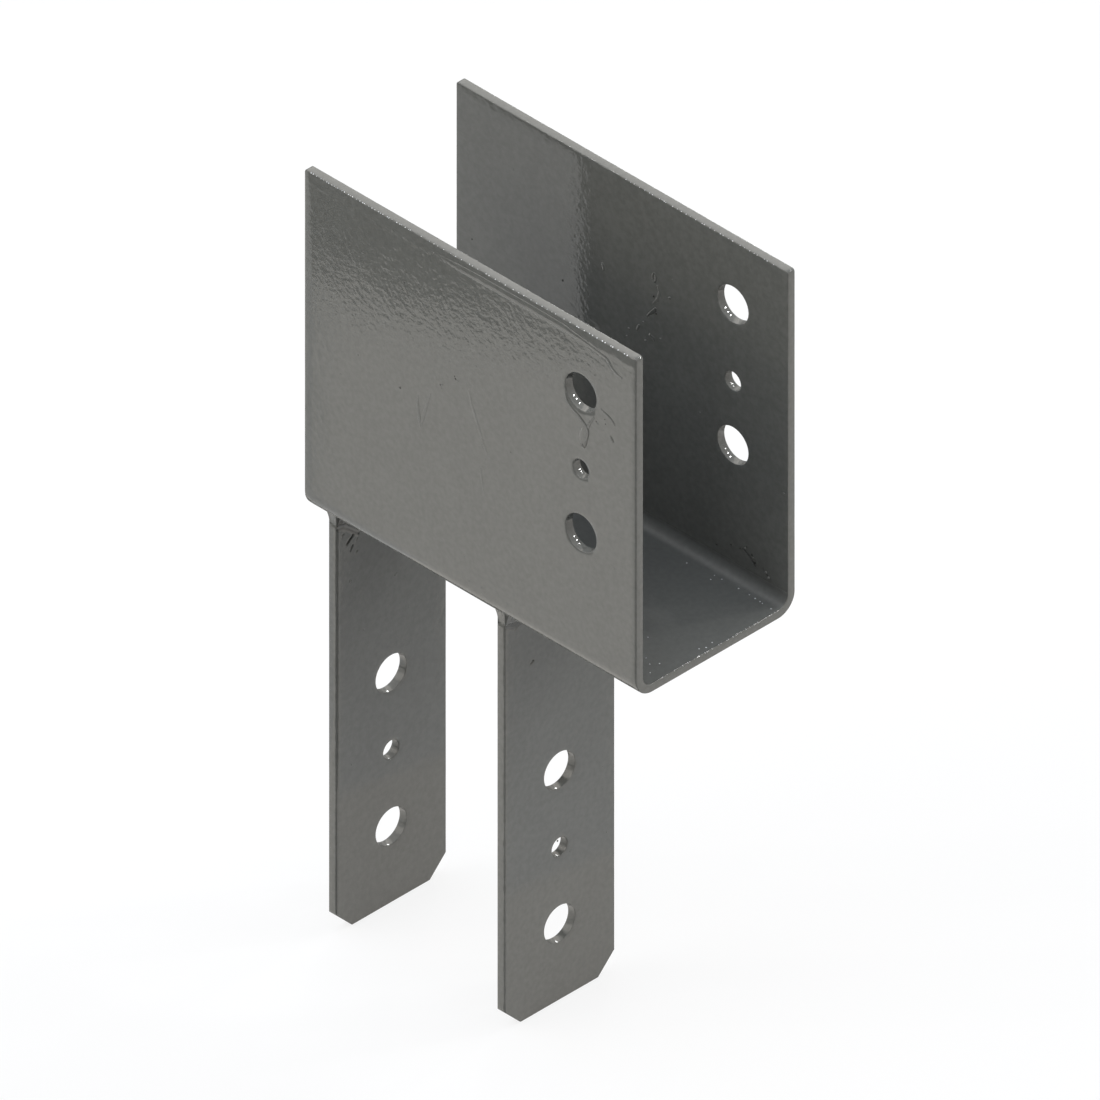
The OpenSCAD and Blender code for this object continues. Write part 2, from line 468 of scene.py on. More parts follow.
# Pale grains on the seat, as painted glints: (x from the flush end, y from the front face) in mm
SEAT_GRAINS = [(154.6, 81.0), (158.6, 81.2), (155.5, 77.9), (168.0, 81.4), (174.2, 81.4), (177.7, 81.2),
               (180.7, 81.0), (182.2, 80.8), (187.4, 80.6), (188.0, 42.8), (186.6, 40.1), (187.2, 47.0),
               (166.2, 31.2), (182.6, 21.5), (180.1, 18.4), (176.0, 20.3), (172.4, 14.8), (184.5, 14.2),
               (168.8, 24.4), (140.5, 79.2), (121.0, 60.3)]


# Runs of paint on the front plate: how dark each is, and its points of (x from the flush end, z, half width,
# height) in mm
# Each run's darkness is painted shade along its ridge
RUNS = [
    # From the upper hole's rim to the drip, down its right side and round its end
    (0.3, [(149.9, 133.5, 0.3, 0.03), (150.6, 130.2, 0.7, 0.08), (153.6, 127.6, 0.8, 0.11),
           (157.2, 126.0, 0.85, 0.12), (160.2, 123.8, 0.9, 0.13), (162.4, 122.0, 1.0, 0.145),
           (163.0, 119.7, 0.7, 0.145), (162.7, 117.6, 0.5, 0.14), (162.1, 115.6, 0.5, 0.14),
           (161.4, 113.4, 0.8, 0.145), (160.6, 112.0, 1.1, 0.145), (159.8, 111.3, 0.5, 0.05)]),
    # Arm from the right
    (0.2, [(166.6, 129.4, 0.3, 0.02), (165.4, 127.6, 0.6, 0.05), (164.0, 125.2, 0.7, 0.08),
           (162.8, 122.4, 0.8, 0.12)]),
    # The drip's body
    (0.08, [(161.6, 122.4, 0.8, 0.05), (160.9, 119.5, 1.9, 0.09), (160.4, 116.8, 2.4, 0.11),
            (160.1, 114.2, 2.1, 0.12), (160.0, 112.2, 1.3, 0.11), (160.0, 111.0, 0.3, 0.02)]),
    (0.5, [(159.4, 113.0, 0.4, 0.10), (159.7, 112.2, 1.1, 0.145), (160.5, 111.4, 1.0, 0.145),
           (161.2, 111.9, 0.3, 0.10)]),
    # Ridge below the top edge
    (0, [(74, 165.0, 0.3, 0.004), (88.2, 164.7, 1.7, 0.02), (100.3, 165.0, 2.0, 0.05),
         (117.1, 165.0, 2.0, 0.05), (130.7, 165.2, 2.0, 0.06), (148.6, 165.0, 1.9, 0.07),
         (154.4, 164.5, 1.5, 0.08), (162.2, 163.7, 1.2, 0.10), (173.7, 162.0, 1.1, 0.13),
         (176.1, 159.0, 1.1, 0.14), (178.6, 157.4, 1.0, 0.11), (182.5, 156.6, 0.5, 0.03)]),
    # Folds of paint between the holes and the open end
    (0.3, [(169.8, 135.6, 0.3, 0.02), (172.2, 134.7, 0.6, 0.09), (175.0, 133.8, 0.7, 0.12),
           (177.2, 132.4, 0.6, 0.11), (178.4, 130.8, 0.3, 0.03)]),
    (0.35, [(175.7, 124.9, 0.3, 0.03), (176.2, 124.0, 0.7, 0.12), (177.3, 122.5, 0.7, 0.12),
            (177.6, 121.9, 0.3, 0.03)]),
    # Long marks in the middle of the plate
    (0, [(72.7, 94.4, 0.3, 0.01), (70.6, 88.0, 0.7, 0.04), (68.2, 80.0, 0.9, 0.06),
         (66.6, 75.0, 0.4, 0.02)]),
    (0.1, [(65.2, 90.0, 0.3, 0.01), (65.4, 84.0, 0.7, 0.05), (66.2, 78.0, 0.8, 0.07),
           (66.6, 74.5, 0.4, 0.03)]),
    (0, [(94.6, 107.0, 0.3, 0.01), (96.0, 101.0, 0.7, 0.03), (99.5, 92.0, 0.8, 0.035),
         (103.0, 84.0, 0.7, 0.03), (105.8, 78.2, 0.3, 0.01)]),
    (0, [(101.0, 72.0, 0.3, 0.01), (102.0, 66.0, 0.7, 0.04), (103.4, 58.0, 0.3, 0.01)]),
]
# The same on the inner face of the back plate
BACK_RUNS = [
    (0.3, [(112.9, 127.2, 0.4, 0.08), (112.8, 129.6, 0.6, 0.12), (113.6, 131.2, 0.6, 0.13),
           (114.7, 129.8, 0.6, 0.13), (114.6, 127.4, 0.6, 0.13), (113.6, 126.4, 0.6, 0.12),
           (112.9, 127.6, 0.4, 0.08)]),
    (0.1, [(115.6, 126.0, 0.3, 0.02), (116.9, 122.6, 0.9, 0.05), (115.6, 118.4, 0.9, 0.05),
           (113.0, 115.6, 0.3, 0.02)]),
    (0.4, [(109.6, 107.6, 0.4, 0.05), (110.8, 109.2, 0.6, 0.13), (112.4, 110.8, 0.9, 0.145),
           (114.0, 112.4, 1.0, 0.145), (114.6, 114.2, 0.5, 0.08)]),
    (0.1, [(103.8, 97.8, 0.5, 0.05), (104.6, 99.6, 0.9, 0.145), (105.2, 101.2, 0.4, 0.05)]),
    (0.1, [(110.8, 99.4, 0.5, 0.05), (112.5, 98.5, 1.1, 0.145), (114.2, 97.4, 0.5, 0.05)]),
    (0.1, [(84.0, 121.4, 0.5, 0.05), (84.3, 119.8, 1.0, 0.145), (84.9, 118.0, 0.5, 0.08)]),
    (0.5, [(164.4, 19.8, 0.3, 0.03), (166.6, 19.0, 0.5, 0.10), (169.0, 17.6, 0.7, 0.13),
           (170.9, 15.6, 0.8, 0.14), (172.0, 14.4, 0.4, 0.05)]),
    (0.4, [(177.0, 14.8, 0.3, 0.03), (178.6, 13.6, 0.7, 0.12), (180.4, 12.6, 0.3, 0.03)]),
]
# Faint sags on the front plate: the two ends' (x, z), width and height in mm
SAGS = [([(86.0, 50.0), (87.0, 92.0)], 0.8, 0.0189), ([(21.0, 22.0), (21.6, 52.0)], 0.9, 0.0151),
        ([(120.0, 30.0), (120.5, 58.0)], 0.9, 0.0151), ([(146.0, 20.0), (146.5, 47.0)], 0.8, 0.0151)]
# Dark and plain specks on the front plate, then plain and dark ones on the back plate:
# (x from the flush end, z, radius) in mm
DARK_SPECKS = [(55.1, 88.3, 0.55), (78.1, 101.3, 0.42), (86.9, 108.6, 0.5), (86.3, 109.6, 0.35),
               (57.6, 141.8, 0.35), (167.6, 127.7, 0.4), (172.5, 131.3, 0.35), (172.9, 129.1, 0.35),
               (31.0, 92.5, 0.3), (118.5, 88.0, 0.3)]
FRONT_SPECKS = [(79.2, 101.9, 0.5), (88.1, 108.3, 0.5), (21, 78, 0.35), (38, 52, 0.3), (104, 77, 0.35),
                (131, 96, 0.3), (12, 131, 0.3), (168.4, 127.1, 0.5), (171.2, 125.2, 0.45),
                (14.5, 24.5, 0.3), (92, 23, 0.35), (178, 60, 0.35), (94.6, 12.1, 0.35), (101.6, 12.4, 0.45),
                (103.2, 10.8, 0.3), (116.6, 12.0, 0.3), (78.9, 100.2, 0.35)]
BACK_SPECKS = [(122.6, 123.2, 0.7), (99.2, 96.4, 0.6), (107.6, 103.8, 0.5), (117.4, 100.2, 0.5),
               (108.8, 95.2, 0.5), (177.9, 14.4, 0.75), (179.5, 12.5, 0.8), (188.2, 58.8, 0.6),
               (166.0, 20.5, 0.5), (170.6, 18.0, 0.4), (98.0, 92.0, 0.4), (140, 75, 0.35), (124, 133, 0.35),
               (33, 142, 0.3), (70, 150, 0.3)]
BACK_DARK = [(61.2, 101.2, 0.6), (9.2, 95.6, 0.4), (149.7, 14.3, 0.5), (157.8, 18.2, 0.5),
             (163.0, 18.9, 0.4), (169.7, 19.2, 0.6), (171.4, 16.3, 0.8), (166.8, 21.6, 0.35),
             (176.2, 15.8, 0.4), (114.8, 111.6, 0.6), (113.3, 119.4, 0.6)]


def bucket_specks():
    """Dust and spatter under the paint: known spots on the front and the back plate, and a few elsewhere."""
    front, inner = -HALF_W + SKIN, HALF_W - PLATE_T + SKIN

    def spots(specks, y, width, height):
        return [((FLUSH_X + x * MM, y, z * MM), (0, -1, 0), r * width * MM, height(r) * MM)
                for x, z, r in specks]

    domes = spots(FRONT_SPECKS, front, 1.1, lambda r: 0.135) + spots(BACK_SPECKS, inner, 1, lambda r: 0.8 * r)
    rng = np.random.default_rng(7)
    for _ in range(26):
        x, z = FLUSH_X + rng.uniform(4, 135) * MM, rng.uniform(12, 160) * MM
        r = rng.uniform(0.25, 0.5) * MM
        y, way = [(HALF_W - SKIN, 1), (-HALF_W + PLATE_T - SKIN, 1)][rng.integers(2)]
        domes.append(((x, y, z), (0, way, 0), r, 0.12 * MM))
    plain = len(domes)
    # The dark specks are coloured dark, partly as dirt and partly as painted shade on shaded bumps
    domes += spots(DARK_SPECKS, front, 1, lambda r: 0.13) + spots(BACK_DARK, inner, 1, lambda r: 0.6 * r)
    return [(dome(Vector(centre), Vector(normal), radius, height), PLAIN if k < plain else (0.85, 0))
            for k, (centre, normal, radius, height) in enumerate(domes)]


def on_plate(y, x, z, lift):
    """Points on a side plate's painted face at y, lifted from it toward the front, from millimetres."""
    at = np.stack([FLUSH_X + x * MM, np.full_like(x, y), z * MM], 1)
    facing = np.tile([0.0, -1.0, 0.0], (len(x), 1))
    at[:, 1] -= np.minimum(bucket_relief(at, facing) + lift * MM, -0.002 * MM)
    return at


def on_front(x, z, lift):
    return on_plate(-HALF_W, x, z, lift)


def on_back(x, z, lift):
    return on_plate(HALF_W - PLATE_T, x, z, lift)


def bucket_relief(points, normals):
    """How far the coat stands out from the steel's faces, over the whole bucket."""
    x, z = (points[:, 0] - FLUSH_X) / MM, points[:, 2] / MM
    relief = np.minimum(paint_waves(points) / MM - SKIN / MM, -0.005)
    # Thick rim of paint inside every free edge, which falls away toward the edge itself
    top = TOP_Z / MM - z
    end = np.minimum(x, (OPEN_X - FLUSH_X) / MM - x)
    flat = np.abs(normals[:, 1]) > 0.7
    front = (normals[:, 1] < -0.7) & (points[:, 1] < -HALF_W + 1.5 * MM)
    roll = np.where(front, 0.40, 0.08)
    fall = 0.10 * np.clip(1 - top / 4.2, 0, 1) ** 2 + roll * np.clip(1 - end / 3.0, 0, 1) ** 2
    for hole_x, hole_z, radius in beam_holes():
        away = np.hypot(points[:, 0] - hole_x, points[:, 2] - hole_z) - radius
        fall += 0.13 * np.clip(1 - away / (2.2 * MM), 0, 1) ** 2
    rim = 0.03 * np.exp(-(((top - 5) / 1.6) ** 2))
    relief += np.where(flat, rim - fall, 0)
    marks = np.zeros_like(x)
    for path, width, height in SAGS:
        marks += path_relief(x, z, path, [width] * 2, [height] * 2)
    return (relief + np.where(front, marks, 0)) * MM


# Straps

def cut_depth(y, z, cuts):
    """How deep the cuts go at points of a strap's wide face, less the burr along them. All in mm."""
    depth = np.zeros_like(y)
    for path, width, deep in cuts:
        n = len(path)
        depth += path_relief(y, z, path, [width] * n, [deep * 0.7] + [deep] * (n - 1))
        depth -= path_relief(y, z, path, [width * 2.2] * n, [deep * 0.08] * n)
    return depth


def make_strap(low, high, name, drop, melt, roll, cuts, dots, seed):
    """A strap in its box. The weld has melted its edges by melt, as far down as drop, and its near edge falls
    away by roll, all in mm; seed places the dust.
    """
    bolts = MOUNTS["post_bolts_end"]
    bz = bolts["pos_m"][2]
    half_pitch = bolts["dims"]["spacing_y_mm"] * MM / 2
    bolt_r = bolts["dims"]["hole_r_mm"] * MM
    length = high.z - low.z
    rows = [(bz + half_pitch - low.z, bolt_r, BOLT_PATCH),
            (bz - low.z, PILOT_R, PILOT_PATCH),
            (bz - half_pitch - low.z, bolt_r, BOLT_PATCH)]
    holes = [(0.0, s, r + HOLE_EDGE, patch) for s, r, patch in rows]
    # The chamfer's inset line meets the inset end and side lines a little inside the true corners
    slope = math.tan(math.radians(22.5)) * INSET
    cut = TIP_CUT - INSET + slope
    marks = [INSET, INSET + 0.5 * MM, INSET + cut - 0.5 * MM, INSET + cut, INSET + cut + 0.8 * MM]
    dense = 44 * MM
    for s, _, patch in rows:
        marks += [s - patch, s + patch]
    marks += [length - dense, length + 0.4 * MM]
    across = [STRAP_HALF - INSET, BOLT_PATCH, PILOT_PATCH]
    xs = marked_lines(
        sorted([-a for a in across] + across),
        lambda y: 0.3 * MM if y < -BOLT_PATCH else 1.25 * MM)
    ss = marked_lines(sorted(marks), lambda s: 0.3 * MM if s > length - dense else 1.8 * MM)

    def narrowing(s):
        return max(0.0, cut - (s - INSET))

    def place(y, s, depth):
        zero = np.zeros_like(s)
        ex = np.stack([zero, zero + 1, zero], 1)
        es = np.stack([zero, zero, zero + 1], 1)
        ed = np.stack([zero + 1, zero, zero], 1)
        at = np.stack([high.x - depth, y, low.z + s], 1)
        return at, ex, es, ed

    def relief(points, normals):
        """The coat, the edge melted back under the weld, and the cuts in the wide face."""
        y, z = points[:, 1] / MM, points[:, 2] / MM
        skin = np.minimum(paint_waves(points) / MM - SKIN / MM, -0.005)
        on_edge = smoothstep(0.35, 0.9, np.abs(normals[:, 1])) * (np.abs(y) > STRAP_HALF / MM - 1)
        skin -= melt * on_edge * smoothstep(-drop - 0.4, -drop + 0.9, z)
        skin -= 0.14 * on_edge * np.exp(-(((z + drop + 0.35) / 0.4) ** 2))
        wide = normals[:, 0] > 0.7
        skin -= np.where(wide, roll * np.clip(1 - (y + STRAP_HALF / MM) / 2.0, 0, 1) ** 2, 0)
        for _, s, radius, _ in holes:
            away = np.hypot(points[:, 1], points[:, 2] - low.z - s) - radius
            skin -= np.where(wide, 0.10 * np.clip(1 - away / (2.0 * MM), 0, 1) ** 2, 0)
        return (skin - np.where(wide, cut_depth(y, z, cuts), 0)) * MM

    sheet = Sheet(xs, ss, narrowing, holes)
    points, faces, rim = sheet.solid(STRAP_T, place, relief, (0.7 * MM, 1.0 * MM), (0.35 * MM, 0.35 * MM))
    rng = np.random.default_rng(seed)
    domes = []
    for _ in range(14):
        y, z = rng.uniform(-28, 28) * MM, rng.uniform(-205, -45) * MM
        way = rng.choice([-1, 1])
        r = rng.uniform(0.25, 0.5) * MM
        at = Vector((high.x - SKIN if way > 0 else low.x + SKIN, y, z))
        domes.append((dome(at, Vector((way, 0, 0)), r, 0.12 * MM), PLAIN))
    for y, z, r in dots:
        at = Vector((high.x - SKIN, y * MM, z * MM))
        domes.append((dome(at, Vector((1, 0, 0)), r * MM, 0.10 * MM), (0.35, 0)))
    wide = slice(0, len(sheet.points))
    grime = np.zeros(len(points))
    y, z = points[wide, 1] / MM, points[wide, 2] / MM
    # Painted shade: the face is coloured darker in every cut, and above the first one, which follows the
    # weld's toe, under the weld
    above = smoothstep(-0.4, 0.4, z - np.interp(y, *zip(*cuts[0][0]))) * smoothstep(-11, -18, y)
    grime[wide] = np.maximum(0.5 * above, 0.8 * smoothstep(0.06, 0.35, cut_depth(y, z, cuts)))
    return sheet_object(name, points, faces, {"rim": rim, "grime": grime}, domes)


# Cuts below the welds, the first along the toe: points (y, z), width and depth in mm
END_CUTS = [([(-30.9, -15.0), (-27.0, -16.0), (-24.6, -17.9), (-22.6, -19.6), (-19.0, -22.9)], 0.70, 0.38),
            ([(-25.6, -25.1), (-23.4, -23.4), (-21.9, -22.2)], 0.50, 0.60),
            ([(-23.6, -29.5), (-22.7, -27.9), (-22.1, -26.9)], 0.42, 0.40),
            ([(-20.3, -25.8), (-19.4, -24.6)], 0.35, 0.22), ([(-20.5, -31.7), (-19.6, -30.9)], 0.38, 0.28),
            ([(-28.5, -19.4), (-27.2, -18.9)], 0.40, 0.26)]
INNER_CUTS = [([(-31.0, -15.6), (-28.6, -17.0), (-26.4, -18.2)], 0.40, 0.22),
              ([(-16.6, -40.7), (-15.2, -39.7)], 0.45, 0.60), ([(-25.4, -19.2), (-24.0, -17.9)], 0.38, 0.30)]
# Darker dots on a strap's wide face: y, z and radius in mm
END_DOTS = [(-23.6, -44.3, 0.9), (2.3, -53.9, 0.6), (3.0, -53.4, 0.5)]


# Welds

def bead_mesh(name, stations, segments=18):
    """A closed bead. Each station is (foot, outward, reach, drop, power, melt, ripple, how dark it is
    painted, as painted shade).
    """
    points, sink, deep = [], 0.35 * MM, 1.3 * MM
    for foot, out, reach, drop, power, melt, ripple, _ in stations:
        row = [foot + out * reach + Vector((0, 0, sink))]
        for k in range(segments + 1):
            w = k / segments
            off = (reach + melt) * (1 - w) ** power - melt
            z = -drop * w
            bulge = ripple * math.sin(math.pi * w) ** 0.7
            lean = Vector((out.x * drop, out.y * drop, -reach)).normalized()
            row.append(foot + out * off + Vector((0, 0, z)) + lean * bulge)
        row.append(foot - out * deep + Vector((0, 0, -drop)))
        row.append(foot - out * deep + Vector((0, 0, sink)))
        points.append(row)
    flat = [p for row in points for p in row]
    grime = [station[-1] for station, row in zip(stations, points) for _ in row]
    return mesh_object(name, flat, tube_faces(len(points), len(points[0])), grime=grime)


def strap_bead(name, low, high, side, face_bead, drop, melt):
    """Bead around one edge of a strap, on the side -1 or 1 in Y, and along its wide face."""
    edge, back = Vector((0, side, 0)), Vector((1, 0, 0))
    step, reach, leg = 0.35 * MM, 4.9 * MM, 6.4 * MM
    drop, melt = drop * MM, melt * MM
    # Every section starts this far inside the strap, which rounds the bead's own corner
    inset = 1.0 * MM
    y, corner_x = side * (STRAP_HALF - inset), high.x - inset
    stations = []

    def add(foot, out, travelled, reach, drop, power, melt, rough):
        reach, melt = reach + inset, melt - inset
        ripple = 0.10 * MM * math.sin(travelled / (2.0 * MM) * 2 * math.pi)
        ripple += 0.38 * MM * noise.noise(foot / (2.6 * MM) + out * 2)
        toe = 1 + 0.05 * rough * noise.noise(foot / (2.6 * MM) + out * 3)
        # Painted shade: the bead is coloured darker where it runs along the strap's wide face, under the
        # bucket
        dark = (0.35 if face_bead else 0.75) * (rough - 0.35) / 0.65
        stations.append((foot, out, reach, drop * toe, power, melt, ripple * rough, dark))

    n = math.ceil((corner_x - low.x) / step)
    for k in range(n + 1):
        x = low.x + 0.15 * MM + (corner_x - low.x - 0.15 * MM) * k / n
        add(Vector((x, y, 0)), edge, x - low.x, reach, drop, 1.75, melt, 0.35)
    turns = 12
    for k in range(1, turns):
        angle = math.pi / 2 * k / turns
        out = edge * math.cos(angle) + back * math.sin(angle)
        t = k / turns
        add(Vector((corner_x, y, 0)), out, STRAP_T + k * step, reach - 0.7 * MM * t, drop, 1.75 - 0.65 * t,
            melt * (1 - t) + 0.1 * MM * t, 0.35 + 0.65 * t)
    reach_y = STRAP_HALF - inset if face_bead else 15 * MM - inset
    sag = 0.24 if face_bead else 0.45
    n = math.ceil(reach_y / step)
    for k in range(1, n + 1):
        run = reach_y * k / n
        low_toe = 1 + sag * min(1.0, run / (12 * MM)) ** 1.6
        if face_bead:
            ease = float(smoothstep(6 * MM, 14 * MM, np.array(run)))
            tall = drop * low_toe * (1 - ease) + leg * ease
            wide = 4.2 * MM * (1 - ease) + leg * ease
            power = 1.1 - 0.2 * ease
        else:
            left = min(1.0, (reach_y - run) / (4.5 * MM))
            round_end = math.sqrt(max(0.0, 1 - (1 - left) ** 2))
            tall = drop * low_toe * (0.35 + 0.65 * round_end)
            wide = 4.2 * MM * (0.12 + 0.88 * round_end)
            power = 1.1
        add(Vector((corner_x, y - side * run, 0)), back, STRAP_T + turns * step + run, wide, tall, power,
            0.1 * MM, 1.0)
    return bead_mesh(name, stations)


def seam_mesh(name):
    """Low bead over the joint line across the flush end."""
    width, crown, half = 8 * MM, 1.12 * MM, STRAP_HALF + 2.5 * MM
    points, stations, across = [], 180, 12
    for a in range(stations + 1):
        y = -half + 2 * half * a / stations
        near = min(1.0, (half - abs(y)) / (3.5 * MM))
        grow = math.sqrt(max(0.0, 1 - (1 - near) ** 2))
        ripple = 1 + 0.12 * math.sin(y / (1.9 * MM) * 2 * math.pi)
        ripple += 0.1 * noise.noise(Vector((y, 0, 0)) / (4 * MM))
        row = []
        for k in range(across + 1):
            t = -1 + 2 * k / across
            z = width / 2 * t * (0.25 + 0.75 * grow)
            lift = crown * grow * (1 - t * t) * ripple
            row.append(Vector((FLUSH_X - lift + 0.02 * MM, y + 0.5 * MM * (1 - t * t), z)))
        row.append(Vector((FLUSH_X + 0.4 * MM, y, row[-1].z)))
        row.append(Vector((FLUSH_X + 0.4 * MM, y, row[0].z)))
        points.append(row)
    flat = [p for row in points for p in row]
    return mesh_object(name, flat, tube_faces(len(points), len(points[0])))


# Materials

def node(tree, kind, **values):
    made = tree.nodes.new(kind)
    for key, value in values.items():
        setattr(made, key, value)
    return made


def new_material(name):
    material = bpy.data.materials.new(name)
    material.use_nodes = True
    return material, material.node_tree


def math_node(tree, operation, *inputs):
    """A math node with each input a number or a socket; returns its output socket."""
    made = node(tree, "ShaderNodeMath", operation=operation)
    for socket, value in zip(made.inputs, inputs):
        if isinstance(value, (int, float)):
            socket.default_value = value
        else:
            tree.links.new(value, socket)
    return made.outputs[0]


def mix_shaders(tree, share, first, second):
    made = node(tree, "ShaderNodeMixShader")
    for socket, value in zip(made.inputs, (share, first, second)):
        tree.links.new(value, socket)
    return made.outputs[0]


def mirrored_ray(tree, light):
    """1 for a ray that has met a mirror or clear stuff, else 0."""
    return math_node(tree, "MAXIMUM", light["Is Glossy Ray"], light["Is Transmission Ray"])


def noise_node(tree, where, scale, detail):
    made = node(tree, "ShaderNodeTexNoise")
    made.inputs["Scale"].default_value = scale
    made.inputs["Detail"].default_value = detail
    tree.links.new(where, made.inputs["Vector"])
    return made.outputs["Fac"]


def attribute(tree, mark):
    return node(tree, "ShaderNodeAttribute", attribute_name=mark).outputs["Fac"]


def marked_colour(tree, under, mark, colour):
    """The colour under, turned toward another where the mesh is marked; returns its output socket."""
    made = node(tree, "ShaderNodeMixRGB")
    tree.links.new(attribute(tree, mark), made.inputs["Fac"])
    tree.links.new(under, made.inputs["Color1"])
    made.inputs["Color2"].default_value = (*colour, 1)
    return made.outputs["Color"]


# Colours of dirt and painted shade, and of painted glints
DIRT_AND_SHADE_COLOUR, GLINT_COLOUR = (0.012, 0.012, 0.011), (0.80, 0.81, 0.82)


def paint(name, colour, roughness, peel):
    """Semi-gloss grey paint with a faint mottle and orange peel."""
    material, tree = new_material(name)
    shader = tree.nodes["Principled BSDF"]
    shader.inputs["Metallic"].default_value = 0.0
    shader.inputs["IOR"].default_value = 1.58
    where = node(tree, "ShaderNodeTexCoord").outputs["Object"]
    clouds = math_node(tree, "MULTIPLY", noise_node(tree, where, 45, 3), 0.25)
    grain = math_node(tree, "MULTIPLY", noise_node(tree, where, 420, 2), 0.75)
    mottle = math_node(tree, "ADD", clouds, grain)
    ramp = node(tree, "ShaderNodeValToRGB")
    for stop, position, share in zip(ramp.color_ramp.elements, (0.35, 0.65), (0.92, 1.08)):
        stop.position = position
        stop.color = (*[c * share for c in colour], 1)
    tree.links.new(mottle, ramp.inputs["Fac"])
    # Marks on the mesh turn the paint toward near black for dirt and painted shade, and toward near white for
    # painted glints
    darkened = marked_colour(tree, ramp.outputs["Color"], "grime", DIRT_AND_SHADE_COLOUR)
    tree.links.new(marked_colour(tree, darkened, "pale", GLINT_COLOUR), shader.inputs["Base Color"])
    shine = node(tree, "ShaderNodeMapRange")
    shine.inputs["To Min"].default_value = roughness - 0.015
    shine.inputs["To Max"].default_value = roughness + 0.015
    tree.links.new(mottle, shine.inputs["Value"])
    dull = math_node(tree, "MULTIPLY", attribute(tree, "dull"), 0.40)
    tree.links.new(math_node(tree, "ADD", shine.outputs["Result"], dull), shader.inputs["Roughness"])
    coarse = noise_node(tree, where, 400, 1)
    fine = math_node(tree, "MULTIPLY", noise_node(tree, where, 1000, 1), 0.28)
    swing = math_node(tree, "SUBTRACT", noise_node(tree, where, 270, 0), 0.5)
    lumps = math_node(tree, "MULTIPLY", attribute(tree, "rim"), math_node(tree, "MULTIPLY", swing, 6.0))
    bump = node(tree, "ShaderNodeBump")
    bump.inputs["Distance"].default_value = peel
    peeled = math_node(tree, "ADD", coarse, fine)
    tree.links.new(math_node(tree, "ADD", peeled, lumps), bump.inputs["Height"])
    tree.links.new(bump.outputs["Normal"], shader.inputs["Normal"])
    return material


def dress(obj, material, nodes):
    """Gives a piece its paint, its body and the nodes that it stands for."""
    obj.data.materials.clear()
    obj.data.materials.append(material)
    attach(obj, BODY)
    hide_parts(*nodes)


# Stage

def floor_material():
    """White to the camera with a faint shadow, and open to reflections and from below."""
    material, tree = new_material("pale_floor")
    tree.nodes.clear()
    out = node(tree, "ShaderNodeOutputMaterial")
    diffuse = node(tree, "ShaderNodeBsdfDiffuse")
    diffuse.inputs["Color"].default_value = (0.8, 0.8, 0.79, 1)
    glow = node(tree, "ShaderNodeEmission")
    clear = node(tree, "ShaderNodeBsdfTransparent")
    light = node(tree, "ShaderNodeLightPath").outputs
    white_share = math_node(tree, "MULTIPLY", light["Is Camera Ray"], 0.82)
    seen = mix_shaders(tree, white_share, diffuse.outputs[0], glow.outputs[0])
    below = node(tree, "ShaderNodeNewGeometry").outputs["Backfacing"]
    unseen = math_node(tree, "MAXIMUM", mirrored_ray(tree, light), below)
    tree.links.new(mix_shaders(tree, unseen, seen, clear.outputs[0]), out.inputs["Surface"])
    return material


def make_floor():
    size = 6.0
    corners = [(-size, -size), (size, -size), (size, size), (-size, size)]
    mesh = bpy.data.meshes.new("floor")
    mesh.from_pydata([(x, y, TIP_Z) for x, y in corners], [], [(0, 1, 2, 3)])
    floor = add_object("floor", mesh)
    mesh.materials.append(floor_material())


def area_lamp(name, place, size, power, colour):
    """Lamp aimed near the middle of the part."""
    data = bpy.data.lights.new(name, "AREA")
    data.shape = "RECTANGLE"
    data.size, data.size_y = size
    data.energy = power
    data.color = colour
    lamp = add_object(name, data)
    lamp.location = place
    aim = Vector((0, 0, 0.03))
    lamp.rotation_euler = (aim - Vector(place)).to_track_quat("-Z", "Y").to_euler()
    return lamp


